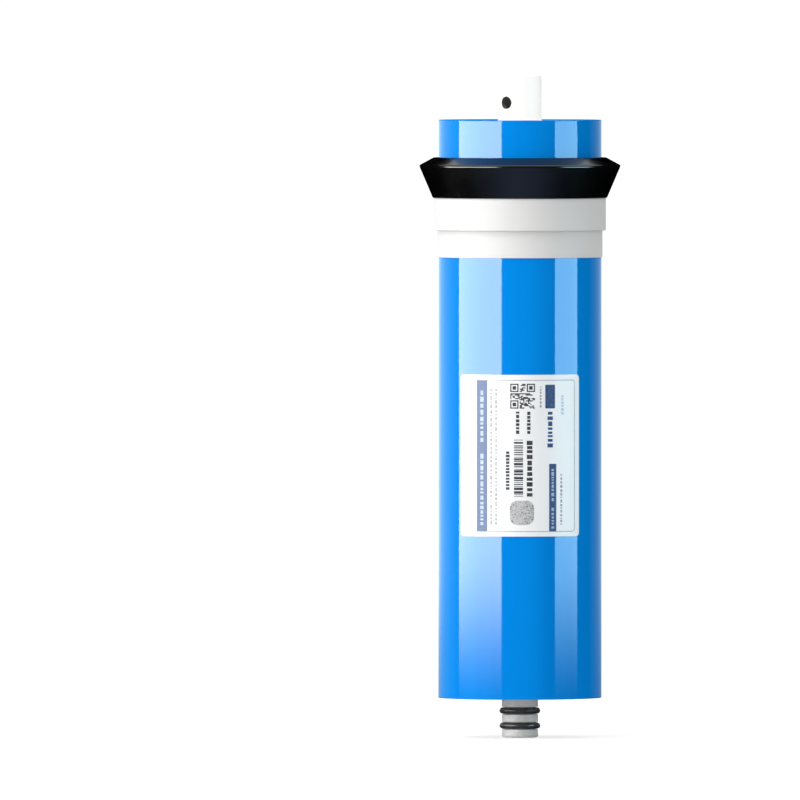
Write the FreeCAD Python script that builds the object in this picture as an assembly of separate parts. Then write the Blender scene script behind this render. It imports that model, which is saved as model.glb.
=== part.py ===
# Spiral-wound reverse osmosis membrane element of the 3 x 12 inch class, in millimetres.
# +Z points up towards the feed end, and the origin is the centre of the outlet stub's end face.
# A perforated tube carries four membrane leaves and four feed spacers, wound together and held by a
# glossy wrap. A carrier ring on the wrap holds the brine seal, and the outlet stub holds two O-rings.
import FreeCAD, Part
import math
import os

Vec = FreeCAD.Vector
AXIS = Vec(0, 0, 1)
CENTRE = Vec(0, 0, 0)

# Wound body
body_length = 254.0
body_radius = 35.9
wrap_wall = 0.4
fit_gap = 0.05  # radial room between wound, slipped-on and glued-in pieces

# Permeate tube
tube_radius = 9.8
tube_bore_radius = 6.5
outlet_length = 17.5
outlet_radius = 8.0
outlet_bore_radius = 4.9
bore_taper_length = 6.0
feed_stub_length = 20.0
feed_stub_radius = 9.5
end_chamfer = 0.9
bore_chamfer = 0.4

# Permeate holes along the wound length, each drilled straight through the tube
perforation_radius = 1.2
perforation_count = 8
perforation_margin = 20.0

# Hole across the feed stub, through which the element is pulled out of its vessel
pull_hole_radius = 2.8
pull_hole_height = 7.5  # above the wound body
pull_hole_turn = -40.0  # degrees about +Z from the front, which faces -Y; negative is to the left

# Plug that closes the tube below the pull hole
plug_top_height = 3.0  # above the wound body
plug_head_radius = 7.1
plug_head_thickness = 2.5
plug_shank_length = 9.0
plug_chamfer = 0.8

# O-rings on the outlet stub
o_ring_section = 2.8
groove_depth = 1.8
groove_side_gap = 0.25
groove_drop = 5.7  # from the wound body down to the upper groove's middle
groove_pitch = 6.6
o_ring_names = ("outlet_o_ring_upper", "outlet_o_ring_lower")

# Leaves and spacers
leaf_count = 4
leaf_thickness = 1.4
spacer_thickness = 1.0
winding_gap = 0.04
leader_wall = 0.6
leaf_recess = 0.8  # from the wrap's ends in to the leaves' ends
spacer_recess = 1.6

# Carrier ring, with heights measured down from the body's feed end
carrier_skirt_wall = 0.35
carrier_band_wall = 1.85
carrier_neck_wall = 0.9
carrier_bead_reach = 0.6
carrier_bead_height = 1.6
carrier_neck_height = 8.0
band_top_drop = 34.3
band_height = 14.3
skirt_height = 11.8
band_chamfer = 0.4

# Brine seal
seal_top_drop = 16.4
seal_lip_drop = 3.6  # from the seal's top down to its lip
seal_lip_wall = 8.45  # from the carrier's bore out to the lip
seal_top_wall = 1.75
seal_foot_wall = 2.35
seal_grip_gap = 0.05
seal_edge_land = 0.4  # width of the small blunt faces along the seal's edges

# Label
label_glue = 0.1
label_thickness = 0.12
label_arc_width = 57.4
label_height = 70.9
label_top_drop = 111.5
label_corner = 1.7
corner_blend = 0.99  # share of the corner radius at which its curve meets the straight edges

# Heights that follow from the sizes above
body_bottom = outlet_length
body_top = body_bottom + body_length
tube_top = body_top + feed_stub_length
plug_top = body_top + plug_top_height
plug_seat = plug_top - plug_head_thickness
band_top = body_top - band_top_drop
band_bottom = band_top - band_height
neck_top = band_top + carrier_neck_height
bead_bottom = neck_top - carrier_bead_height
seal_top = body_top - seal_top_drop

# Radii that follow from the sizes above
groove_radius = outlet_radius - groove_depth
plug_socket_radius = plug_head_radius + fit_gap
wrap_bore_radius = body_radius - wrap_wall
leader_bore_radius = tube_radius + fit_gap
leader_radius = leader_bore_radius + leader_wall
carrier_bore_radius = body_radius + fit_gap
neck_radius = carrier_bore_radius + carrier_neck_wall
bead_radius = neck_radius + carrier_bead_reach
seal_lip_radius = carrier_bore_radius + seal_lip_wall
seal_top_radius = carrier_bore_radius + seal_top_wall
seal_foot_radius = carrier_bore_radius + seal_foot_wall


def turned(profile):
    # A solid turned about the Z axis from (radius, height) points
    points = [Vec(radius, 0, height) for radius, height in profile]
    outline = Part.makePolygon(points + points[:1])
    return Part.Face(outline).revolve(CENTRE, AXIS, 360)


def pipe(bore_radius, outer_radius, bottom, top):
    outer = Part.makeCylinder(outer_radius, top - bottom, Vec(0, 0, bottom))
    return outer.cut(Part.makeCylinder(bore_radius, top - bottom, Vec(0, 0, bottom)))


def cross_drill(radius, height, turn):
    # A drill through the whole tube at a height, pointing at an angle from the front
    reach = tube_radius + 1
    heading = math.radians(turn)
    direction = Vec(math.sin(heading), -math.cos(heading), 0)
    start = direction * -reach + Vec(0, 0, height)
    return Part.makeCylinder(radius, 2 * reach, start, direction)


def groove_middles():
    return [body_bottom - groove_drop - n * groove_pitch for n in range(len(o_ring_names))]


def perforation_heights():
    span = body_length - 2 * perforation_margin
    pitch = span / (perforation_count - 1)
    return [body_bottom + perforation_margin + n * pitch for n in range(perforation_count)]


def permeate_tube():
    half_groove = o_ring_section / 2 + groove_side_gap
    outline = [
        (outlet_bore_radius + bore_chamfer, 0),
        (outlet_radius - end_chamfer, 0),
        (outlet_radius, end_chamfer),
    ]
    for middle in reversed(groove_middles()):
        outline += [
            (outlet_radius, middle - half_groove),
            (groove_radius, middle - half_groove),
            (groove_radius, middle + half_groove),
            (outlet_radius, middle + half_groove),
        ]
    outline += [
        (outlet_radius, body_bottom),
        (tube_radius, body_bottom),
        (tube_radius, body_top),
        (feed_stub_radius, body_top),
        (feed_stub_radius, tube_top - end_chamfer),
        (feed_stub_radius - end_chamfer, tube_top),
        (plug_socket_radius + bore_chamfer, tube_top),
        (plug_socket_radius, tube_top - bore_chamfer),
        (plug_socket_radius, plug_seat),
        (tube_bore_radius, plug_seat),
        (tube_bore_radius, body_bottom + bore_taper_length),
        (outlet_bore_radius, body_bottom),
        (outlet_bore_radius, bore_chamfer),
    ]
    drills = [cross_drill(pull_hole_radius, body_top + pull_hole_height, pull_hole_turn)]
    for n, height in enumerate(perforation_heights()):
        drills.append(cross_drill(perforation_radius, height, 90 * n))
    return turned(outline).cut(drills)


def end_plug():
    head_radius = plug_socket_radius - fit_gap
    shank_radius = tube_bore_radius - fit_gap
    shank_bottom = plug_seat - plug_shank_length
    return turned([
        (0, plug_top),
        (0, shank_bottom),
        (shank_radius - plug_chamfer, shank_bottom),
        (shank_radius, shank_bottom + plug_chamfer),
        (shank_radius, plug_seat),
        (head_radius, plug_seat),
        (head_radius, plug_top),
    ])


def o_ring(height):
    section_radius = o_ring_section / 2
    return Part.makeTorus(groove_radius + section_radius, section_radius, Vec(0, 0, height))


def carrier_leader():
    # The permeate fabric's first turn, over the tube's holes
    return pipe(
        leader_bore_radius,
        leader_radius,
        body_bottom + leaf_recess,
        body_top - leaf_recess,
    )


def winding_outline(offset, thickness):
    # One start of the winding, seen along the axis. Each leaf starts one step of turn after the one before
    # it, and the arcs of a step turn about one corner of a regular polygon, so that all starts nest.
    step_turn = 2 * math.pi / leaf_count
    layer_pitch = leaf_thickness + spacer_thickness + 2 * winding_gap
    corner_reach = layer_pitch / (2 * math.sin(step_turn / 2))
    start_radius = leader_radius - 2 * layer_pitch + offset
    step_count = math.ceil((wrap_bore_radius - start_radius) / layer_pitch) + 1

    def arc(step, extra, reverse):
        corner_turn = (step + 0.5) * step_turn + math.pi / 2
        corner = Vec(math.cos(corner_turn), math.sin(corner_turn), 0) * corner_reach
        radius = start_radius + step * layer_pitch + extra
        turns = [(step + part) * step_turn for part in (0, 0.5, 1)]
        if reverse:
            turns.reverse()
        points = [corner + Vec(math.cos(turn), math.sin(turn), 0) * radius for turn in turns]
        return Part.Arc(*points).toShape()

    inner = [arc(step, 0, False) for step in range(step_count)]
    outer = [arc(step, thickness, True) for step in reversed(range(step_count))]
    far_end = Part.makeLine(inner[-1].lastVertex().Point, outer[0].firstVertex().Point)
    near_end = Part.makeLine(outer[-1].lastVertex().Point, inner[0].firstVertex().Point)
    return Part.Wire(inner + [far_end] + outer + [near_end])


def wound_sheet(offset, thickness, recess, start):
    # A sheet wound from the leader out to the wrap, where its tail tapers to nothing
    room = Part.Face(Part.Wire(Part.makeCircle(wrap_bore_radius - fit_gap)))
    room = room.cut(Part.Face(Part.Wire(Part.makeCircle(leader_radius + fit_gap))))
    section = Part.Face(winding_outline(offset, thickness)).common(room)
    sheet = section.Faces[0].extrude(AXIS * (body_length - 2 * recess))
    sheet.translate(Vec(0, 0, body_bottom + recess))
    sheet.rotate(CENTRE, AXIS, start * 360 / leaf_count)
    return sheet


def membrane_leaf(start):
    return wound_sheet(0, leaf_thickness, leaf_recess, start)


def feed_spacer(start):
    return wound_sheet(leaf_thickness + winding_gap, spacer_thickness, spacer_recess, start)


def outer_wrap():
    return pipe(wrap_bore_radius, body_radius, body_bottom, body_top)


def seal_carrier():
    # A thick band over a thin skirt, with a neck and bead above the band that the brine seal snaps onto
    skirt_radius = carrier_bore_radius + carrier_skirt_wall
    band_radius = carrier_bore_radius + carrier_band_wall
    return turned([
        (carrier_bore_radius, band_bottom - skirt_height),
        (skirt_radius, band_bottom - skirt_height),
        (skirt_radius, band_bottom),
        (band_radius - band_chamfer, band_bottom),
        (band_radius, band_bottom + band_chamfer),
        (band_radius, band_top),
        (neck_radius, band_top),
        (neck_radius, bead_bottom - carrier_bead_reach),
        (bead_radius, bead_bottom),
        (bead_radius, neck_top - carrier_bead_reach),
        (neck_radius, neck_top),
        (carrier_bore_radius, neck_top),
    ])


def brine_seal():
    # A wedge-shaped lip seal. Feed water enters the narrow groove between it and the wrap, and presses
    # the lip against the vessel's wall.
    grip_radius = neck_radius + seal_grip_gap
    bead_room = bead_radius + seal_grip_gap
    lip_height = seal_top - seal_lip_drop
    return turned([
        (grip_radius, band_top),
        (seal_foot_radius, band_top),
        (seal_lip_radius, lip_height - seal_edge_land),
        (seal_lip_radius, lip_height),
        (seal_top_radius + seal_edge_land, seal_top),
        (seal_top_radius, seal_top),
        (seal_top_radius, seal_top - seal_edge_land),
        (grip_radius, neck_top + seal_grip_gap),
        (bead_room, neck_top - carrier_bead_reach + seal_grip_gap),
        (bead_room, bead_bottom - seal_grip_gap),
        (grip_radius, bead_bottom - carrier_bead_reach - seal_grip_gap),
    ])


def product_label():
    # A thin sheet bent round the front of the wrap, with rounded corners
    inner_radius = body_radius + label_glue
    outer_radius = inner_radius + label_thickness
    half_height = label_height / 2
    middle = body_top - label_top_drop - half_height
    spread = math.degrees(label_arc_width / body_radius)
    sheet = Part.makeCylinder(outer_radius, label_height, Vec(0, 0, -half_height), AXIS, spread)
    sheet = sheet.cut(Part.makeCylinder(inner_radius, label_height, Vec(0, 0, -half_height)))
    sheet.rotate(CENTRE, AXIS, -spread / 2)
    corner_inset = label_corner * corner_blend
    corner_turn = spread / 2 - math.degrees(corner_inset / outer_radius)
    waste = [
        corner_waste(side * corner_turn, end * (half_height - corner_inset), side, end)
        for side in (-1, 1)
        for end in (-1, 1)
    ]
    sheet = sheet.cut(waste)
    sheet.rotate(CENTRE, AXIS, -90)
    sheet.translate(Vec(0, 0, middle))
    return sheet


def corner_waste(turn, height, side, end):
    # What a round corner of the label leaves over, cut square to the wrap at that corner
    near = Vec(body_radius - label_corner, 0, 0)
    depth = 2 * label_corner
    block = Part.makeBox(depth, depth, depth, near)
    block = block.cut(Part.makeCylinder(label_corner, depth, near, Vec(1, 0, 0)))
    quarter = {(1, 1): 0, (-1, 1): 1, (-1, -1): 2, (1, -1): 3}[(side, end)]
    block.rotate(CENTRE, Vec(1, 0, 0), 90 * quarter)
    block.rotate(CENTRE, AXIS, turn)
    block.translate(Vec(0, 0, height))
    return block


def element_nodes():
    nodes = {
        "permeate_tube": permeate_tube(),
        "end_plug": end_plug(),
        "carrier_leader": carrier_leader(),
        "outer_wrap": outer_wrap(),
        "seal_carrier": seal_carrier(),
        "brine_seal": brine_seal(),
        "product_label": product_label(),
    }
    for name, height in zip(o_ring_names, groove_middles()):
        nodes[name] = o_ring(height)
    for start in range(leaf_count):
        nodes[f"membrane_leaf_{start + 1}"] = membrane_leaf(start)
        nodes[f"feed_spacer_{start + 1}"] = feed_spacer(start)
    return nodes


os.makedirs("parts", exist_ok=True)
for node, shape in element_nodes().items():
    shape.exportStep(f"parts/{node}.step")
    print(f"{node}: {shape.Volume / 1000:.2f} cm3")
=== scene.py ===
import math
import random

import bpy
import bmesh
from mathutils import Matrix, Vector


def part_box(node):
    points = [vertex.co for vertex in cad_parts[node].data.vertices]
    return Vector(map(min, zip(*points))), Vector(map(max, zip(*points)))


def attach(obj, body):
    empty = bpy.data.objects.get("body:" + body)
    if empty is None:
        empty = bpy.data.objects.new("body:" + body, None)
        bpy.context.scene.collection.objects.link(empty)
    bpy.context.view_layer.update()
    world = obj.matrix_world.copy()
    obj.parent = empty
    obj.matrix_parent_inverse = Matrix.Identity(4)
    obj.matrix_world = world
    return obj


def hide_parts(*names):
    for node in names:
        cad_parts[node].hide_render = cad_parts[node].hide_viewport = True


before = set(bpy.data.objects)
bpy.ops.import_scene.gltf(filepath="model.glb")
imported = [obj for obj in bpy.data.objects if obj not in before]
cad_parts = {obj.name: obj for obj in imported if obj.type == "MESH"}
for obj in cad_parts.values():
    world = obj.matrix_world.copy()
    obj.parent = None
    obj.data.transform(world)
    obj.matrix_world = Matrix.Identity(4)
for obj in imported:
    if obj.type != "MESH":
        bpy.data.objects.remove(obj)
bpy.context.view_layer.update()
mm = 0.001

# heights and radii of the rolled body, read from the frame
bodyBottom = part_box("outer_wrap")[0].z
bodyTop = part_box("outer_wrap")[1].z
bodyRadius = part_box("outer_wrap")[1].x
print("frame loaded,", len(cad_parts), "nodes")


# camera
camera = {"place": (0, -12.1, 0.3765), "aim": (-0.0527, 0, 0.1483), "lens": 1239, "sensor": 36,
          "farClip": 500}


def addCamera():
    data = bpy.data.cameras.new("camera")
    data.lens = camera["lens"]
    data.sensor_width = camera["sensor"]
    data.clip_end = camera["farClip"]
    eye = bpy.data.objects.new("camera", data)
    bpy.context.scene.collection.objects.link(eye)
    eye.location = camera["place"]
    eye.rotation_euler = (Vector(camera["aim"]) - eye.location).to_track_quat("-Z", "Y").to_euler()
    bpy.context.scene.camera = eye


addCamera()
print("camera placed")


# material helpers
def newMaterial(name, colour, roughness, specular=0.5):
    material = bpy.data.materials.new(name)
    material.use_nodes = True
    shader = material.node_tree.nodes["Principled BSDF"]
    shader.inputs["Base Color"].default_value = (*colour, 1)
    shader.inputs["Roughness"].default_value = roughness
    shader.inputs["Specular IOR Level"].default_value = specular
    return material


def addNode(material, kind, **settings):
    node = material.node_tree.nodes.new(kind)
    for key, value in settings.items():
        setattr(node, key, value)
    return node


def join(material, fromSocket, toSocket):
    material.node_tree.links.new(fromSocket, toSocket)


def shaderOf(material):
    return material.node_tree.nodes["Principled BSDF"]


def objectPoint(material, stretch=(1, 1, 1)):
    # Object coordinates, stretched along each axis
    place = addNode(material, "ShaderNodeTexCoord")
    mapping = addNode(material, "ShaderNodeMapping")
    mapping.inputs["Scale"].default_value = stretch
    join(material, place.outputs["Object"], mapping.inputs["Vector"])
    return mapping.outputs["Vector"]


def noise(material, scale, detail=3, stretch=(1, 1, 1)):
    texture = addNode(material, "ShaderNodeTexNoise")
    texture.inputs["Scale"].default_value = scale
    texture.inputs["Detail"].default_value = detail
    join(material, objectPoint(material, stretch), texture.inputs["Vector"])
    return texture.outputs["Fac"]


def maths(material, operation, first, second=0.0, clamp=False):
    node = addNode(material, "ShaderNodeMath", operation=operation, use_clamp=clamp)
    for socket, value in zip(node.inputs, (first, second)):
        if isinstance(value, (int, float)):
            socket.default_value = value
        else:
            join(material, value, socket)
    return node.outputs[0]


def spread(material, value, low, high, toLow=0.0, toHigh=1.0):
    node = addNode(material, "ShaderNodeMapRange", interpolation_type="SMOOTHSTEP")
    join(material, value, node.inputs["Value"])
    for name, number in (("From Min", low), ("From Max", high), ("To Min", toLow), ("To Max", toHigh)):
        node.inputs[name].default_value = number
    return node.outputs["Result"]


def tint(material, factor, first, second):
    # two colours mixed by a factor, into the base colour
    mix = addNode(material, "ShaderNodeMix", data_type="RGBA")
    join(material, factor, mix.inputs["Factor"])
    for socket, colour in ((mix.inputs[6], first), (mix.inputs[7], second)):
        if isinstance(colour, tuple):
            socket.default_value = (*colour, 1)
        else:
            join(material, colour, socket)
    join(material, mix.outputs[2], shaderOf(material).inputs["Base Color"])
    return mix.outputs[2]


def emboss(material, height, distance, strength=1.0):
    bump = addNode(material, "ShaderNodeBump")
    bump.inputs["Distance"].default_value = distance
    bump.inputs["Strength"].default_value = strength
    join(material, height, bump.inputs["Height"])
    join(material, bump.outputs["Normal"], shaderOf(material).inputs["Normal"])


def roughen(material, factor, low, high):
    varied = spread(material, factor, 0.3, 0.7, low, high)
    join(material, varied, shaderOf(material).inputs["Roughness"])


def around(material):
    # turn about the axis, 0 at the front and +-pi at the back, and the reach from the axis
    place = addNode(material, "ShaderNodeTexCoord")
    axes = addNode(material, "ShaderNodeSeparateXYZ")
    join(material, place.outputs["Object"], axes.inputs[0])
    front = maths(material, "MULTIPLY", axes.outputs["Y"], -1.0)
    turn = maths(material, "ARCTAN2", axes.outputs["X"], front)
    flat = maths(material, "ADD", maths(material, "POWER", axes.outputs["X"], 2.0),
                 maths(material, "POWER", axes.outputs["Y"], 2.0))
    return turn, maths(material, "SQRT", flat), axes.outputs["Z"]


turning = {"steps": 160, "segments": 3, "longWall": 1.2 * mm, "endLoop": 0.25 * mm, "weld": 0.001 * mm}


# piece helpers
def addPiece(name, bm, material, replaced=(), sharp=32):
    for face in bm.faces:
        face.smooth = True
    for edge in bm.edges:
        edge.smooth = edge.calc_face_angle(0) < math.radians(sharp)
    mesh = bpy.data.meshes.new(name)
    bm.to_mesh(mesh)
    bm.free()
    piece = bpy.data.objects.new(name, mesh)
    bpy.context.scene.collection.objects.link(piece)
    mesh.materials.append(material)
    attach(piece, "root")
    if replaced:
        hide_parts(*replaced)
    return piece


def thicken(bm, way):
    raised = bmesh.ops.extrude_face_region(bm, geom=bm.faces[:], use_keep_orig=True)
    moved = [item for item in raised["geom"] if isinstance(item, bmesh.types.BMVert)]
    bmesh.ops.translate(bm, verts=moved, vec=way)


def spinFull(bm, steps):
    bmesh.ops.spin(bm, geom=bm.verts[:] + bm.edges[:], cent=(0, 0, 0), axis=(0, 0, 1), dvec=(0, 0, 0),
                   angle=2 * math.pi, steps=steps, use_merge=True)


def turnProfile(profile, steps=turning["steps"], solid=False):
    # profile points are (radius, height, rounding), turned about the axis
    # a solid's profile starts and ends on the axis, and any other is a closed loop
    bm = bmesh.new()
    points = [bm.verts.new((radius, 0, height)) for radius, height, rounding in profile]
    for first, second in zip(points, points[1:] if solid else points[1:] + points[:1]):
        bm.edges.new((first, second))
    for point, (radius, height, rounding) in zip(points, profile):
        if rounding:
            bmesh.ops.bevel(bm, geom=[point], offset=rounding, offset_type="OFFSET",
                            segments=turning["segments"], profile=0.5, affect="VERTICES", material=-1)
    # a loop near each end of a long wall keeps its shading flat
    for wall in [edge for edge in bm.edges if edge.calc_length() > turning["longWall"]]:
        share = turning["endLoop"] / wall.calc_length()
        rest, middle = bmesh.utils.edge_split(wall, wall.verts[0], share)
        longer = max((wall, rest), key=lambda edge: edge.calc_length())
        bmesh.utils.edge_split(longer, longer.other_vert(middle), share / (1 - share))
    spinFull(bm, steps)
    bmesh.ops.remove_doubles(bm, verts=bm.verts, dist=turning["weld"])
    bmesh.ops.recalc_face_normals(bm, faces=bm.faces)
    return bm


# blue outer wrap
wrap = {"rounding": 0.12 * mm, "steps": 192, "wall": 0.4 * mm, "blue": (0.0004, 0.245, 0.79),
        "paleBlue": (0.001, 0.27, 0.83), "gloss": 0.06, "specular": 0.5, "lapTurn": 2.45,
        "lapSlope": 0.004, "lapStep": 0.05 * mm, "waves": 0.06}


def wrapFilm():
    # a glossy film with faint streaks, slow waves and one lap at the back
    film = newMaterial("wrapFilm", wrap["blue"], wrap["gloss"], wrap["specular"])
    streaks = noise(film, 60, 4, (1, 1, 0.03))
    tint(film, spread(film, streaks, 0.35, 0.65), wrap["blue"], wrap["paleBlue"])
    turn, reach, height = around(film)
    pastLap = maths(film, "SUBTRACT", turn, wrap["lapTurn"])
    lap = spread(film, pastLap, -wrap["lapSlope"], wrap["lapSlope"])
    waves = maths(film, "MULTIPLY", noise(film, 25, 2, (1, 1, 0.25)), wrap["waves"])
    emboss(film, maths(film, "ADD", lap, waves), wrap["lapStep"])
    return film


def addWrap():
    outer, bore, edge = bodyRadius, bodyRadius - wrap["wall"], wrap["rounding"]
    bm = turnProfile([(outer, bodyBottom, edge), (outer, bodyTop, edge), (bore, bodyTop, edge),
                      (bore, bodyBottom, edge)], wrap["steps"])
    return addPiece("blueWrap", bm, wrapFilm(), ["outer_wrap"])


addWrap()
print("outer wrap made")


# white seal carrier
ring = {"skirtWall": 0.35 * mm, "bandWall": 1.85 * mm, "neckWall": 0.9 * mm, "bead": 0.6 * mm,
        "beadHeight": 1.6 * mm, "neck": 8.0 * mm, "band": 14.3 * mm, "rounding": 0.35 * mm,
        "stepRounding": 0.2 * mm, "skirtRounding": 0.12 * mm, "fineRounding": 0.1 * mm,
        "boreRounding": 0.08 * mm, "steps": 176, "roughness": 0.5, "specular": 0.12,
        "white": (0.78, 0.78, 0.77), "shadeWhite": (0.75, 0.75, 0.74)}


def carrierPlastic():
    plastic = newMaterial("carrierPlastic", ring["white"], ring["roughness"], ring["specular"])
    tint(plastic, noise(plastic, 40, 3), ring["white"], ring["shadeWhite"])
    emboss(plastic, noise(plastic, 1800, 2), 0.01 * mm, 0.4)
    return plastic


def addCarrier():
    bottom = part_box("seal_carrier")[0].z
    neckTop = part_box("seal_carrier")[1].z
    bandTop = neckTop - ring["neck"]
    bandBottom = bandTop - ring["band"]
    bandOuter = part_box("seal_carrier")[1].x
    bore = bandOuter - ring["bandWall"]
    skirt, neck = bore + ring["skirtWall"], bore + ring["neckWall"]
    bead = neck + ring["bead"]
    beadBottom = neckTop - ring["beadHeight"]
    fine = ring["fineRounding"]
    bm = turnProfile([
        (bore, bottom, ring["boreRounding"]), (skirt, bottom, ring["skirtRounding"]),
        (skirt, bandBottom, ring["stepRounding"]), (bandOuter, bandBottom, ring["rounding"]),
        (bandOuter, bandTop, ring["rounding"]), (neck, bandTop, 0), (neck, beadBottom - ring["bead"], 0),
        (bead, beadBottom, fine), (bead, neckTop - ring["bead"], fine), (neck, neckTop, fine),
        (bore, neckTop, fine),
    ], ring["steps"])
    return addPiece("sealCarrier", bm, carrierPlastic(), ["seal_carrier"])


addCarrier()
print("seal carrier made")


# black brine seal
lipSeal = {"lipDrop": 3.6 * mm, "lipWall": 8.45 * mm, "topWall": 1.75 * mm, "footWall": 2.35 * mm,
           "gap": 0.05 * mm, "innerLand": 0.4 * mm, "nose": 0.7 * mm,
           "footRounding": 0.25 * mm, "topRounding": 0.3 * mm, "steps": 192,
           "black": (0.0012, 0.0012, 0.0014), "grey": (0.003, 0.003, 0.0032), "roughness": 0.15,
           "smoothest": 0.12, "roughest": 0.19, "specular": 0.75}


def sealRubber():
    rubber = newMaterial("sealRubber", lipSeal["black"], lipSeal["roughness"], lipSeal["specular"])
    dust = noise(rubber, 90, 4, (1, 1, 2))
    tint(rubber, spread(rubber, dust, 0.4, 0.8), lipSeal["black"], lipSeal["grey"])
    roughen(rubber, noise(rubber, 35, 3), lipSeal["smoothest"], lipSeal["roughest"])
    emboss(rubber, noise(rubber, 1500, 2), 0.006 * mm, 0.4)
    return rubber


def addLipSeal():
    foot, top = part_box("brine_seal")[0].z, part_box("brine_seal")[1].z
    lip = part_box("brine_seal")[1].x
    bore = lip - lipSeal["lipWall"]
    gap = lipSeal["gap"]
    grip = bore + ring["neckWall"] + gap
    beadRoom = grip + ring["bead"]
    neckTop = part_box("seal_carrier")[1].z
    beadBottom = neckTop - ring["beadHeight"]
    lipHeight = top - lipSeal["lipDrop"]
    bm = turnProfile([
        (grip, foot, 0), (bore + lipSeal["footWall"], foot, lipSeal["footRounding"]),
        (lip, lipHeight, lipSeal["nose"]), (bore + lipSeal["topWall"], top, lipSeal["topRounding"]),
        (bore + lipSeal["topWall"], top - lipSeal["innerLand"], 0), (grip, neckTop + gap, 0),
        (beadRoom, neckTop - ring["bead"] + gap, 0), (beadRoom, beadBottom - gap, 0),
        (grip, beadBottom - ring["bead"] - gap, 0),
    ], lipSeal["steps"])
    return addPiece("brineSeal", bm, sealRubber(), ["brine_seal"])


addLipSeal()
print("brine seal made")


# permeate tube, its plug and O-rings
tube = {"outlet": 8.0 * mm, "bore": 4.9 * mm, "groove": 6.2 * mm, "grooveHalf": 1.65 * mm,
        "grooveHeights": (5.2 * mm, 11.8 * mm), "core": 9.8 * mm, "coreBore": 6.5 * mm,
        "stub": 9.5 * mm, "socket": 7.15 * mm, "taper": 6 * mm,
        "hole": 2.8 * mm, "holeRise": 7.5 * mm, "holeTurn": -40, "drain": 1.2 * mm, "drains": 8,
        "drainMargin": 20 * mm, "drillReach": 22 * mm, "plugHead": 2.5 * mm, "plugGap": 0.05 * mm,
        "endRounding": 0.9 * mm, "mouthRounding": 0.4 * mm, "rimRounding": 0.15 * mm,
        "fineRounding": 0.1 * mm, "stubRounding": 0.8 * mm, "socketRounding": 0.35 * mm,
        "headRounding": 0.3 * mm, "steps": 128, "plugSteps": 96, "roughness": 0.35, "specular": 0.35,
        "white": (0.92, 0.92, 0.91), "ivory": (0.88, 0.88, 0.86)}
# dark grey painted into the socket and the cross hole wall as shade
socketShade = {"base": (0.16, 0.16, 0.15), "light": (0.2, 0.2, 0.19), "dark": (0.1, 0.1, 0.095),
         "roughness": 0.5, "specular": 0.2}
oRing = {"base": (0.045, 0.045, 0.043), "black": (0.035, 0.035, 0.033), "grey": (0.062, 0.06, 0.057),
         "roughness": 0.35, "specular": 0.6, "section": 24, "steps": 96}


def tubePlastic():
    plastic = newMaterial("tubePlastic", tube["white"], tube["roughness"], tube["specular"])
    tint(plastic, noise(plastic, 55, 3), tube["white"], tube["ivory"])
    roughen(plastic, noise(plastic, 120, 2), 0.3, 0.42)
    emboss(plastic, noise(plastic, 900, 2), 0.01 * mm, 0.4)
    return plastic


def paintedSocketShade():
    # the inside of the open stub, painted dark grey as shade
    plastic = newMaterial("paintedSocketShade", socketShade["base"], socketShade["roughness"], socketShade["specular"])
    tint(plastic, noise(plastic, 160, 3), socketShade["light"], socketShade["dark"])
    return plastic


def addDrill(bm, radius, segments, height, turn):
    # one rod right across the tube
    heading = math.radians(turn)
    lie = Matrix.Rotation(heading, 4, "Z") @ Matrix.Rotation(math.pi / 2, 4, "X")
    bmesh.ops.create_cone(bm, cap_ends=True, segments=segments, radius1=radius, radius2=radius,
                          depth=tube["drillReach"], matrix=Matrix.Translation((0, 0, height)) @ lie)


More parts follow.
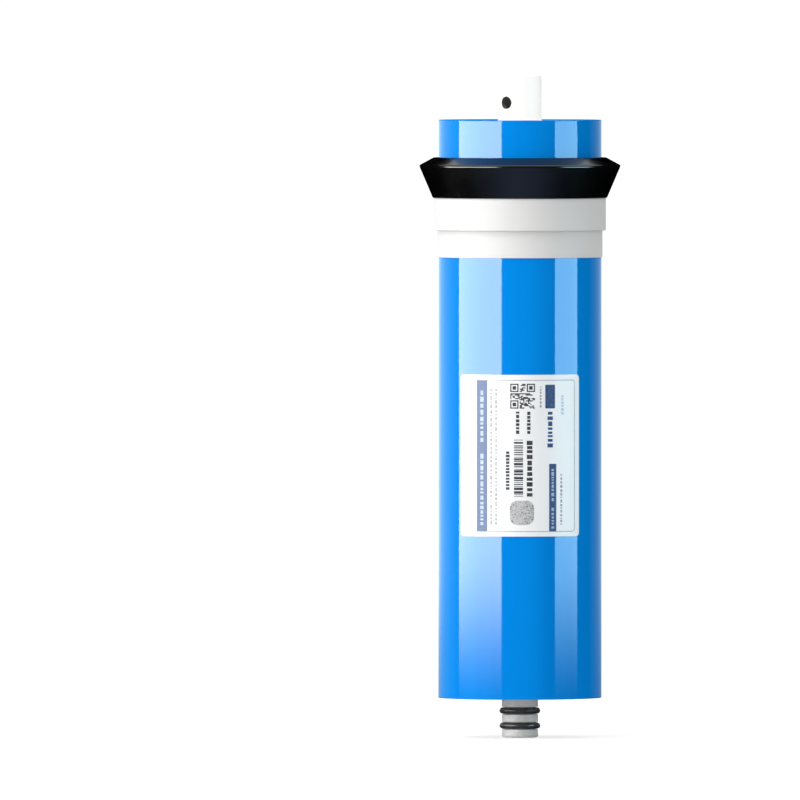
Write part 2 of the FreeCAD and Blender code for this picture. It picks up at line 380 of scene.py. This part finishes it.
def addTube(plastic):
    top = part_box("permeate_tube")[1].z
    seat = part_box("end_plug")[1].z - tube["plugHead"]
    half, rim, fine = tube["grooveHalf"], tube["rimRounding"], tube["fineRounding"]
    profile = [(tube["bore"], 0, tube["mouthRounding"]), (tube["outlet"], 0, tube["endRounding"])]
    for middle in tube["grooveHeights"]:
        profile += [(tube["outlet"], middle - half, rim), (tube["groove"], middle - half, fine),
                    (tube["groove"], middle + half, fine), (tube["outlet"], middle + half, rim)]
    profile += [
        (tube["outlet"], bodyBottom, 0), (tube["core"], bodyBottom, fine), (tube["core"], bodyTop, 0),
        (tube["stub"], bodyTop, 0), (tube["stub"], top, tube["stubRounding"]),
        (tube["socket"], top, tube["socketRounding"]), (tube["socket"], seat, 0),
        (tube["coreBore"], seat, 0), (tube["coreBore"], bodyBottom + tube["taper"], 0),
        (tube["bore"], bodyBottom, 0),
    ]
    body = bpy.data.meshes.new("tubeBody")
    bm = turnProfile(profile, tube["steps"])
    bm.to_mesh(body)
    bm.free()
    drills = bmesh.new()
    holeHeight = bodyTop + tube["holeRise"]
    addDrill(drills, tube["hole"], 48, holeHeight, tube["holeTurn"])
    pitch = (bodyTop - bodyBottom - 2 * tube["drainMargin"]) / (tube["drains"] - 1)
    for n in range(tube["drains"]):
        addDrill(drills, tube["drain"], 16, bodyBottom + tube["drainMargin"] + n * pitch, 90 * n)
    bmesh.ops.recalc_face_normals(drills, faces=drills.faces)
    drillMesh = bpy.data.meshes.new("drills")
    drills.to_mesh(drillMesh)
    drills.free()

    blank = bpy.data.objects.new("tubeBlank", body)
    cutter = bpy.data.objects.new("tubeDrills", drillMesh)
    for each in (blank, cutter):
        bpy.context.scene.collection.objects.link(each)
    cut = blank.modifiers.new("holes", "BOOLEAN")
    cut.object = cutter
    cut.operation = "DIFFERENCE"
    cut.solver = "EXACT"
    shaped = blank.evaluated_get(bpy.context.evaluated_depsgraph_get())
    drilled = bpy.data.meshes.new_from_object(shaped)
    for each in (blank, cutter):
        bpy.data.objects.remove(each)

    bm = bmesh.new()
    bm.from_mesh(drilled)
    # painted shade lies in the socket and on the wall of the cross hole
    for face in bm.faces:
        middle = face.calc_center_median()
        reach = middle.xy.length
        inward = face.normal.x * middle.x + face.normal.y * middle.y < -0.9 * reach
        inSocket = inward and reach < tube["socket"] + 0.1 * mm and seat - 1 * mm < middle.z < top - 1 * mm
        inHole = (tube["socket"] + 0.05 * mm < reach < tube["stub"] - 0.05 * mm
                  and abs(middle.z - holeHeight) < tube["hole"])
        if inSocket or inHole:
            face.material_index = 1
    piece = addPiece("permeateTube", bm, plastic, ["permeate_tube"], 40)
    piece.data.materials.append(paintedSocketShade())
    return piece


def addEndPlug(plastic):
    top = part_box("end_plug")[1].z
    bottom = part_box("end_plug")[0].z
    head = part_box("end_plug")[1].x
    seat = top - tube["plugHead"]
    shank = tube["coreBore"] - tube["plugGap"]
    bm = turnProfile([(0, bottom, 0), (shank, bottom, tube["stubRounding"]), (shank, seat, 0),
                      (head, seat, 0), (head, top, tube["headRounding"]), (0, top, 0)],
                     tube["plugSteps"], True)
    return addPiece("endPlug", bm, plastic, ["end_plug"])


def ringRubber():
    rubber = newMaterial("ringRubber", oRing["base"], oRing["roughness"], oRing["specular"])
    tint(rubber, noise(rubber, 300, 3), oRing["black"], oRing["grey"])
    roughen(rubber, noise(rubber, 240, 2), 0.24, 0.36)
    emboss(rubber, noise(rubber, 2500, 2), 0.008 * mm, 0.4)
    return rubber


def addORing(name, node, rubber):
    low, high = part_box(node)
    section = (high.z - low.z) / 2
    bm = bmesh.new()
    middle = Matrix.Translation((high.x - section, 0, (low.z + high.z) / 2))
    bmesh.ops.create_circle(bm, segments=oRing["section"], radius=section,
                            matrix=middle @ Matrix.Rotation(math.pi / 2, 4, "X"))
    spinFull(bm, oRing["steps"])
    bmesh.ops.recalc_face_normals(bm, faces=bm.faces)
    return addPiece(name, bm, rubber, [node])


whitePlastic = tubePlastic()
addTube(whitePlastic)
addEndPlug(whitePlastic)
blackRubber = ringRubber()
addORing("oRingUpper", "outlet_o_ring_upper", blackRubber)
addORing("oRingLower", "outlet_o_ring_lower", blackRubber)
print("tube, plug and O-rings made")


# wound leaves and spacers
# the darkest net colour is painted shade in the gaps between the spacer strands
roll = {"starts": 4, "leaf": 0.55 * mm, "spacer": 0.64 * mm, "gap": 0.03 * mm, "steps": 18,
        "leafRecess": 0.8 * mm, "spacerRecess": 1.6 * mm, "clear": 0.05 * mm, "weld": 0.004 * mm,
        "leafWhite": (0.80, 0.79, 0.75), "leafTan": (0.62, 0.60, 0.53), "strand": 0.45 * mm,
        "netGapShade": (0.03, 0.03, 0.03), "netWhite": (0.74, 0.75, 0.74)}
cloth = {"base": (0.8, 0.79, 0.75), "white": (0.82, 0.81, 0.77), "tan": (0.66, 0.65, 0.6)}
rollPitch = roll["leaf"] + roll["spacer"] + 2 * roll["gap"]


def windSheet(offset, thickness, recess, start):
    # each quarter turn goes about one corner of a small square, so the four starts nest
    quarter = 2 * math.pi / roll["starts"]
    cornerReach = rollPitch / (2 * math.sin(quarter / 2))

    def cornerOf(step):
        return Matrix.Rotation((step + 0.5) * quarter + math.pi / 2, 3, "Z") @ Vector((cornerReach, 0, 0))

    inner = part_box("carrier_leader")[1].x + roll["clear"]
    outer = bodyRadius - wrap["wall"] - roll["clear"]
    first = inner - 2 * rollPitch + cornerReach * math.sin(quarter / 2) + offset
    stepCount = math.ceil((outer - first) / rollPitch) + 2
    bm = bmesh.new()
    near = bm.verts.new(cornerOf(0) + Vector((first, 0, 0)))
    far = bm.verts.new(cornerOf(0) + Vector((first + thickness, 0, 0)))
    edge = [near, far, bm.edges.new((near, far))]
    for step in range(stepCount):
        wound = bmesh.ops.spin(bm, geom=edge, cent=cornerOf(step), axis=(0, 0, 1), dvec=(0, 0, 0),
                               angle=quarter, steps=roll["steps"])
        edge = wound["geom_last"]
    for point in bm.verts:
        reach = point.co.xy.length
        kept = min(max(reach, inner), outer)
        point.co.xy *= kept / reach
    # what falls beyond the leader or the wrap closes up, and is cleared away
    bmesh.ops.remove_doubles(bm, verts=bm.verts, dist=roll["weld"])
    bmesh.ops.delete(bm, geom=[edge for edge in bm.edges if not edge.link_faces], context="EDGES")
    bmesh.ops.translate(bm, verts=bm.verts, vec=(0, 0, bodyBottom + recess))
    thicken(bm, (0, 0, bodyTop - bodyBottom - 2 * recess))
    bmesh.ops.rotate(bm, verts=bm.verts, cent=(0, 0, 0), matrix=Matrix.Rotation(start * quarter, 3, "Z"))
    bmesh.ops.recalc_face_normals(bm, faces=bm.faces)
    if bm.calc_volume(signed=True) < 0:
        bmesh.ops.reverse_faces(bm, faces=bm.faces)
    return bm


def leafSheet():
    # pale membrane and knitted fabric, seen at their cut edge
    sheet = newMaterial("leafSheet", (0.78, 0.76, 0.7), 0.55, 0.3)
    fibres = noise(sheet, 900, 3, (1, 1, 0.2))
    tint(sheet, spread(sheet, fibres, 0.35, 0.65), roll["leafWhite"], roll["leafTan"])
    emboss(sheet, fibres, 0.05 * mm, 0.6)
    return sheet


def spacerNet():
    # two sets of crossing strands, with painted shade in the gaps between them
    net = newMaterial("spacerNet", (0.5, 0.5, 0.48), 0.4, 0.4)
    turn, reach, height = around(net)
    along = maths(net, "MULTIPLY", turn, maths(net, "DIVIDE", reach, roll["strand"]))
    rise = maths(net, "DIVIDE", height, roll["strand"])
    left = maths(net, "SINE", maths(net, "ADD", along, rise))
    right = maths(net, "SINE", maths(net, "SUBTRACT", along, rise))
    strands = spread(net, maths(net, "MAXIMUM", left, right), 0.1, 0.75)
    tint(net, strands, roll["netGapShade"], roll["netWhite"])
    emboss(net, strands, 0.2 * mm, 0.8)
    return net


def addRoll():
    leafMaterial, netMaterial = leafSheet(), spacerNet()
    for start in range(roll["starts"]):
        bm = windSheet(0, roll["leaf"], roll["leafRecess"], start)
        addPiece(f"membraneLeaf{start + 1}", bm, leafMaterial,
                 [f"membrane_leaf_{start + 1}"])
        bm = windSheet(roll["leaf"] + roll["gap"], roll["spacer"], roll["spacerRecess"], start)
        addPiece(f"feedSpacer{start + 1}", bm, netMaterial,
                 [f"feed_spacer_{start + 1}"])


def dressLeader():
    fabric = newMaterial("permeateCloth", cloth["base"], 0.7, 0.2)
    weave = noise(fabric, 700, 2, (1, 1, 0.15))
    tint(fabric, weave, cloth["white"], cloth["tan"])
    emboss(fabric, weave, 0.08 * mm, 0.7)
    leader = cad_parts["carrier_leader"]
    leader.data.materials.clear()
    leader.data.materials.append(fabric)


addRoll()
dressLeader()
print("roll made,", round(rollPitch / mm, 2), "mm a layer")


# product label
label = {"corner": 1.7 * mm, "thickness": 0.12 * mm, "piece": 0.9 * mm, "ink": 0.02 * mm,
         "foil": 0.04 * mm, "lift": 0.006 * mm, "white": (0.96, 0.97, 0.97), "shade": (0.91, 0.93, 0.95)}
labelLow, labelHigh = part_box("product_label")
labelOuter = -labelLow.y
labelHalf = math.asin(labelHigh.x / labelOuter) * labelOuter
labelMiddle = (labelLow.z + labelHigh.z) / 2


def layFlat(bm, across, up, width, height, corner=0.0):
    # one flat patch: x is the way round the label, z is up, and corners may be rounded
    lie = Matrix.Translation((across, 0, up)) @ Matrix.Rotation(math.pi / 2, 4, "X")
    made = bmesh.ops.create_grid(bm, x_segments=1, y_segments=1, size=0.5,
                                 matrix=lie @ Matrix.Diagonal((width, height, 1, 1)))
    if corner:
        bmesh.ops.bevel(bm, geom=made["verts"], offset=corner, offset_type="OFFSET", segments=6,
                        profile=0.5, affect="VERTICES", material=-1)


def wrapRound(bm, lift, thickness):
    # cuts the flat patches into narrow strips, gives them their thickness and bends them round the wrap
    lowest = min(v.co.x for v in bm.verts)
    highest = max(v.co.x for v in bm.verts)
    cut = math.floor(lowest / label["piece"]) * label["piece"]
    while cut < highest:
        bmesh.ops.bisect_plane(bm, geom=bm.verts[:] + bm.edges[:] + bm.faces[:], dist=1e-7,
                               plane_co=(cut, 0, 0), plane_no=(1, 0, 0))
        cut += label["piece"]
    thicken(bm, (0, -thickness, 0))
    for point in bm.verts:
        turn = point.co.x / labelOuter
        reach = labelOuter + lift - point.co.y
        point.co = (reach * math.sin(turn), -reach * math.cos(turn), point.co.z + labelMiddle)
    bmesh.ops.recalc_face_normals(bm, faces=bm.faces)


def labelFilm():
    film = newMaterial("labelFilm", label["white"], 0.42, 0.6)
    tint(film, noise(film, 50, 3), label["white"], label["shade"])
    emboss(film, noise(film, 1200, 2), 0.006 * mm, 0.3)
    return film


def inkMaterial(name, colour, darker):
    ink = newMaterial(name, colour, 0.45, 0.3)
    tint(ink, spread(ink, noise(ink, 1100, 3), 0.35, 0.7), colour, darker)
    return ink


def addLabel():
    bm = bmesh.new()
    layFlat(bm, 0, 0, 2 * labelHalf, labelHigh.z - labelLow.z, label["corner"])
    wrapRound(bm, -label["thickness"], label["thickness"])
    return addPiece("productLabel", bm, labelFilm(), ["product_label"])


# print on the label, in mm from its middle: across, up, width, height
printed = {
    "frame": {"left": -24.7, "right": 26.3, "top": 33.2, "bottom": -33.4, "line": 0.28, "corner": 1.5},
    "slateBand": (-17.3, -0.1, 5.3, 66.2),
    "navyBand": (14.8, -18.4, 3.4, 29.6),
    "navyBlock": (13.6, 25.9, 4.6, 10.4),
    "codeSquare": {"across": 1.2, "up": 26.1, "side": 10.9, "cells": 21, "share": 0.56},
    "barCode": {"across": -0.6, "low": -17.9, "high": 7.1, "width": 4.0},
    "sticker": (0.9, -25.0, 10.6, 10.6),
    "seed": 7,
}
# lines of print: across, low, high, width, shortest, longest, gap
printRows = {
    "slateBand": ((-17.3, -30.5, 2.0, 1.7, 0.7, 2.6, 0.7), (-17.3, 6.0, 30.0, 1.7, 0.7, 2.6, 0.7)),
    "navyLine": (13.6, 3.6, 19.2, 2.6, 0.9, 2.2, 0.6),
    "navyBand": ((14.8, -32.0, -22.5, 1.3, 0.5, 1.8, 0.6), (14.8, -20.0, -5.2, 1.3, 0.5, 1.8, 0.6)),
    "black": ((3.9, 9.6, 19.3, 1.7, 0.8, 1.6, 0.4), (-1.0, 9.6, 19.3, 1.7, 0.8, 1.6, 0.4),
              (4.3, -17.9, 7.7, 2.6, 1.3, 2.1, 0.55), (-5.4, -14.9, 2.6, 1.9, 0.9, 1.3, 0.35)),
    "small": ((-12.9, -30.3, 29.4, 0.9, 0.5, 2.2, 0.5), (-10.6, -30.3, 29.4, 0.8, 0.5, 2.2, 0.5),
              (19.0, -30.3, -7.4, 1.0, 0.5, 1.6, 0.5), (9.2, 21.1, 31.2, 0.8, 0.4, 1.2, 0.5)),
    "pale": (19.6, 18.0, 26.4, 1.4, 0.6, 1.5, 0.4),
}
# each ink's colour and the shade it drifts to
inks = {
    "labelFrame": ((0.25, 0.29, 0.36), (0.4, 0.44, 0.5)),
    "labelSlateBand": ((0.13, 0.18, 0.31), (0.15, 0.205, 0.345)),
    "labelBandDashes": ((0.5, 0.6, 0.76), (0.4, 0.5, 0.68)),
    "labelNavy": ((0.03, 0.06, 0.17), (0.05, 0.1, 0.25)),
    "labelNavyDashes": ((0.4, 0.52, 0.7), (0.3, 0.42, 0.62)),
    "labelBlack": ((0.035, 0.035, 0.045), (0.09, 0.09, 0.10)),
    "labelSmallLines": ((0.28, 0.29, 0.33), (0.45, 0.46, 0.5)),
    "labelPaleLine": ((0.45, 0.6, 0.78), (0.6, 0.72, 0.85)),
}


def addInk(name, bm, layer=0):
    # a second layer of ink lies on top of the first
    wrapRound(bm, label["lift"] + layer * label["ink"], label["ink"])
    return addPiece(name, bm, inkMaterial(name + "Ink", *inks[name]))


def dashRow(bm, dice, across, low, high, width, shortest, longest, gap):
    # a line of print as plain dashes of uneven length, running up the label
    place = low
    while place + shortest < high:
        length = min(dice.uniform(shortest, longest), high - place)
        rise = width * dice.uniform(0.75, 1.0)
        layFlat(bm, across * mm, (place + length / 2) * mm, rise * mm, length * mm)
        place += length + gap * dice.uniform(0.7, 1.4)


def printFrame(bm):
    box = printed["frame"]
    layFlat(bm, (box["left"] + box["right"]) / 2 * mm, (box["top"] + box["bottom"]) / 2 * mm,
            (box["right"] - box["left"]) * mm, (box["top"] - box["bottom"]) * mm, box["corner"] * mm)
    bmesh.ops.inset_region(bm, faces=bm.faces[:], thickness=box["line"] * mm,
                           use_boundary=True, use_even_offset=True)
    middle = max(bm.faces, key=lambda face: face.calc_area())
    bmesh.ops.delete(bm, geom=[middle], context="FACES_ONLY")


def printCode(bm, dice):
    # square of scattered cells, with a ring in three of its corners
    code = printed["codeSquare"]
    cell = code["side"] / code["cells"]
    left, low = code["across"] - code["side"] / 2, code["up"] - code["side"] / 2
    for row in range(code["cells"]):
        column = 0
        while column < code["cells"]:
            run = min(dice.choice((1, 1, 2, 3)), code["cells"] - column)
            nearCorner = (row < 8 and column < 8) or (row > 12 and (column < 8 or column + run > 13))
            if not nearCorner and dice.random() < code["share"]:
                layFlat(bm, (left + (column + run / 2) * cell) * mm, (low + (row + 0.5) * cell) * mm,
                        (run - 0.04) * cell * mm, cell * 0.96 * mm)
            column += run
    for across, up in ((3.5, 3.5), (17.5, 17.5), (3.5, 17.5)):
        middle = ((left + across * cell) * mm, (low + up * cell) * mm)
        layFlat(bm, *middle, 3 * cell * mm, 3 * cell * mm)
        for side in (-1, 1):
            shift = side * 3 * cell * mm
            layFlat(bm, middle[0] + shift, middle[1], cell * mm, 7 * cell * mm)
            layFlat(bm, middle[0], middle[1] + shift, 4.96 * cell * mm, cell * mm)


def printBars(bm, dice):
    # bars of uneven width
    bars = printed["barCode"]
    place = bars["low"]
    while place < bars["high"]:
        thick = dice.choice((0.25, 0.25, 0.5, 0.5, 0.8, 1.1))
        layFlat(bm, bars["across"] * mm, (place + thick / 2) * mm, bars["width"] * mm, thick * mm)
        place += thick + dice.choice((0.25, 0.35, 0.5, 0.7))


def addPrint():
    dice = random.Random(printed["seed"])
    bm = bmesh.new()
    printFrame(bm)
    addInk("labelFrame", bm)

    bm = bmesh.new()
    layFlat(bm, *(value * mm for value in printed["slateBand"]))
    addInk("labelSlateBand", bm)

    bm = bmesh.new()
    for row in printRows["slateBand"]:
        dashRow(bm, dice, *row)
    addInk("labelBandDashes", bm, 1)

    bm = bmesh.new()
    for key in ("navyBand", "navyBlock"):
        layFlat(bm, *(value * mm for value in printed[key]), 0.3 * mm)
    dashRow(bm, dice, *printRows["navyLine"])
    addInk("labelNavy", bm)

    bm = bmesh.new()
    for row in printRows["navyBand"]:
        dashRow(bm, dice, *row)
    addInk("labelNavyDashes", bm, 1)

    bm = bmesh.new()
    printCode(bm, dice)
    printBars(bm, dice)
    for row in printRows["black"]:
        dashRow(bm, dice, *row)
    addInk("labelBlack", bm)

    bm = bmesh.new()
    for row in printRows["small"]:
        dashRow(bm, dice, *row)
    addInk("labelSmallLines", bm)

    bm = bmesh.new()
    dashRow(bm, dice, *printRows["pale"])
    addInk("labelPaleLine", bm)


def addSticker():
    # a mottled foil patch with round corners
    foil = newMaterial("stickerFoil", (0.5, 0.5, 0.5), 0.35, 0.4)
    mottle = addNode(foil, "ShaderNodeTexVoronoi", feature="DISTANCE_TO_EDGE")
    mottle.inputs["Scale"].default_value = 1100
    join(foil, objectPoint(foil), mottle.inputs["Vector"])
    cells = spread(foil, mottle.outputs["Distance"], 0.02, 0.25)
    cloud = spread(foil, noise(foil, 420, 2), 0.4, 0.6, 0.25, 1.0)
    tint(foil, maths(foil, "MULTIPLY", cells, cloud), (0.62, 0.63, 0.63), (0.2, 0.21, 0.22))
    emboss(foil, cells, 0.02 * mm, 0.5)
    bm = bmesh.new()
    across, up, width, height = (value * mm for value in printed["sticker"])
    layFlat(bm, across, up, width, height, 3.2 * mm)
    wrapRound(bm, label["lift"], label["foil"])
    addPiece("labelSticker", bm, foil)


addLabel()
addPrint()
addSticker()
print("label and its print made")


# floor, world and lights
studio = {"ambient": 0.79, "floorWhite": 0.5, "floorGlow": 0.66, "floorSize": 200, "cardReach": 0.48,
          "lampAim": (0, 0, 0.15)}
lamps = {
    "keyLamp": {"turn": -53, "rise": 52, "reach": 1.7, "size": 0.9, "power": 11.8},
    "lowLamp": {"turn": -60, "rise": 10, "reach": 1.5, "size": 0.5, "power": 8.4},
    "stubLamp": {"turn": 62, "rise": 38, "reach": 1.2, "size": 0.3, "power": 6,
                 "only": "permeateTube"},
}


def addWorld():
    # white to the eye and to gloss, a little dimmer as light
    world = bpy.data.worlds.new("studio")
    world.use_nodes = True
    bpy.context.scene.world = world
    nodes, links = world.node_tree.nodes, world.node_tree.links
    background = nodes["Background"]
    background.inputs["Color"].default_value = (1, 1, 1, 1)
    rays = nodes.new("ShaderNodeLightPath")
    seen = rays.outputs["Is Camera Ray"]
    for name in ("Is Glossy Ray", "Is Transmission Ray"):
        either = nodes.new("ShaderNodeMath")
        either.operation = "MAXIMUM"
        links.new(seen, either.inputs[0])
        links.new(rays.outputs[name], either.inputs[1])
        seen = either.outputs[0]
    strength = nodes.new("ShaderNodeMapRange")
    links.new(seen, strength.inputs["Value"])
    strength.inputs["To Min"].default_value = studio["ambient"]
    strength.inputs["To Max"].default_value = 1.0
    links.new(strength.outputs["Result"], background.inputs["Strength"])


def addFloor():
    bm = bmesh.new()
    bmesh.ops.create_grid(bm, x_segments=1, y_segments=1, size=studio["floorSize"])
    mesh = bpy.data.meshes.new("floor")
    bm.to_mesh(mesh)
    bm.free()
    floor = bpy.data.objects.new("floor", mesh)
    bpy.context.scene.collection.objects.link(floor)
    material = newMaterial("floorPaper", (studio["floorWhite"],) * 3, 0.9, 0.0)
    rays = addNode(material, "ShaderNodeLightPath")
    mirrored = maths(material, "MAXIMUM", rays.outputs["Is Glossy Ray"],
                     rays.outputs["Is Transmission Ray"])
    seen = maths(material, "MAXIMUM", rays.outputs["Is Camera Ray"], mirrored)
    shader = shaderOf(material)
    shader.inputs["Emission Color"].default_value = (1, 1, 1, 1)
    glow = maths(material, "MULTIPLY", seen, studio["floorGlow"])
    join(material, glow, shader.inputs["Emission Strength"])
    # from below the floor is clear
    clear = addNode(material, "ShaderNodeMixShader")
    join(material, addNode(material, "ShaderNodeNewGeometry").outputs["Backfacing"], clear.inputs["Fac"])
    join(material, shader.outputs[0], clear.inputs[1])
    join(material, addNode(material, "ShaderNodeBsdfTransparent").outputs[0], clear.inputs[2])
    surface = material.node_tree.nodes["Material Output"].inputs["Surface"]
    join(material, clear.outputs[0], surface)
    mesh.materials.append(material)


def linkLight(source, name, state):
    # a lamp or card that reaches one piece only, or all but that piece
    reached = bpy.data.collections.new(source.name + "Reach")
    reached.objects.link(bpy.data.objects[name])
    reached.collection_objects[0].light_linking.link_state = state
    source.light_linking.receiver_collection = reached


def addLamp(name, soft):
    data = bpy.data.lights.new(name, "AREA")
    data.shape = "SQUARE"
    data.size = soft["size"]
    data.energy = soft["power"]
    lamp = bpy.data.objects.new(name, data)
    bpy.context.scene.collection.objects.link(lamp)
    turn, rise = math.radians(soft["turn"]), math.radians(soft["rise"])
    aim = Vector(studio["lampAim"])
    lamp.location = aim + soft["reach"] * Vector(
        (math.sin(turn) * math.cos(rise), -math.cos(turn) * math.cos(rise), math.sin(rise)))
    lamp.rotation_euler = (aim - lamp.location).to_track_quat("-Z", "Y").to_euler()
    lamp.visible_glossy = False
    if "only" in soft:
        linkLight(lamp, soft["only"], "INCLUDE")


# strips and flags that only the gloss sees, by their turn from the front
cards = {
    "leftStrip": {"turns": (-93, -25), "colour": (1, 1, 1), "from": 10, "to": 10, "foot": 0.0},
    "rightStrip": {"turns": (49, 86), "colour": (0.44, 0.83, 1), "from": 8.4, "to": 8.4, "foot": 0.0},
    "frontFlag": {"turns": (-25, 49), "colour": (1, 1, 1), "from": 0.0, "to": 0.0, "foot": 1.0},
    "leftBack": {"turns": (-175, -93), "colour": (0.8, 1, 0.95), "from": 1.7, "to": 0.1, "foot": 0.4,
                 "not": "brineSeal"},
    "rightFlag": {"turns": (86, 112), "colour": (1, 1, 1), "from": 0.0, "to": 0.0, "foot": 1.0},
    "rightBack": {"turns": (112, 175), "colour": (0.75, 0.95, 1), "from": 0.03, "to": 1.0, "foot": 0.5,
                  "not": "brineSeal"},
}
tent = {"stripTop": 0.28, "top": 0.6, "above": 0.04, "footFade": 0.08, "steps": 24}
floorFlag = {"glow": (0.19, 0.26, 0.42), "halfTurn": 80}


def showToGloss(name, bm, material):
    mesh = bpy.data.meshes.new(name)
    bm.to_mesh(mesh)
    bm.free()
    mesh.materials.append(material)
    board = bpy.data.objects.new(name, mesh)
    bpy.context.scene.collection.objects.link(board)
    board.visible_camera = board.visible_diffuse = board.visible_shadow = False
    board.visible_transmission = False
    return board


def newGlow(name, colour):
    # a plain light-giving material and the socket of its strength
    glow = bpy.data.materials.new(name)
    glow.use_nodes = True
    glow.node_tree.nodes.clear()
    lightNode = addNode(glow, "ShaderNodeEmission")
    lightNode.inputs["Color"].default_value = (*colour, 1)
    join(glow, lightNode.outputs[0], addNode(glow, "ShaderNodeOutputMaterial").inputs["Surface"])
    return glow, lightNode.inputs["Strength"]


def addFloorFlag():
    # a dark sheet under the element with a soft glow in front, for the rubber's sheen
    bm = bmesh.new()
    bmesh.ops.create_circle(bm, cap_ends=True, segments=64, radius=studio["cardReach"],
                            matrix=Matrix.Translation((0, 0, 0.5 * mm)))
    glow, power = newGlow("floorFlag", floorFlag["glow"])
    turn, away, height = around(glow)
    sideways = maths(glow, "ABSOLUTE", turn)
    join(glow, spread(glow, sideways, 0, math.radians(floorFlag["halfTurn"]), 1.0, 0.0), power)
    showToGloss("floorFlag", bm, glow)


def addCard(name, card):
    start, end = (math.radians(turn) for turn in card["turns"])
    reach = studio["cardReach"]
    bm = bmesh.new()
    foot = bm.verts.new((reach * math.sin(start), -reach * math.cos(start), 0.0))
    head = bm.verts.new((reach * math.sin(start), -reach * math.cos(start), tent["top"]))
    bmesh.ops.spin(bm, geom=[foot, head, bm.edges.new((foot, head))], cent=(0, 0, 0), axis=(0, 0, 1),
                   dvec=(0, 0, 0), angle=end - start, steps=tent["steps"])
    glow, power = newGlow(name, card["colour"])
    turn, away, height = around(glow)
    strength = addNode(glow, "ShaderNodeMapRange")
    join(glow, turn, strength.inputs["Value"])
    for key, value in (("From Min", start), ("From Max", end), ("To Min", card["from"]),
                       ("To Max", card["to"])):
        strength.inputs[key].default_value = value
    # the strips fade out at their foot and stop above the element
    footFade = spread(glow, height, 0.0, tent["footFade"], card["foot"], 1.0)
    upper = maths(glow, "GREATER_THAN", height, tent["stripTop"])
    lower = maths(glow, "SUBTRACT", 1.0, upper)
    lit = maths(glow, "MULTIPLY", maths(glow, "MULTIPLY", strength.outputs["Result"], footFade), lower)
    join(glow, maths(glow, "ADD", lit, maths(glow, "MULTIPLY", upper, tent["above"])), power)
    board = showToGloss(name, bm, glow)
    if "not" in card:
        linkLight(board, card["not"], "EXCLUDE")


addWorld()
addFloor()
for name, soft in lamps.items():
    addLamp(name, soft)
for name, card in cards.items():
    addCard(name, card)
addFloorFlag()
bpy.context.scene.view_settings.view_transform = "Standard"
print("stage and lights set")
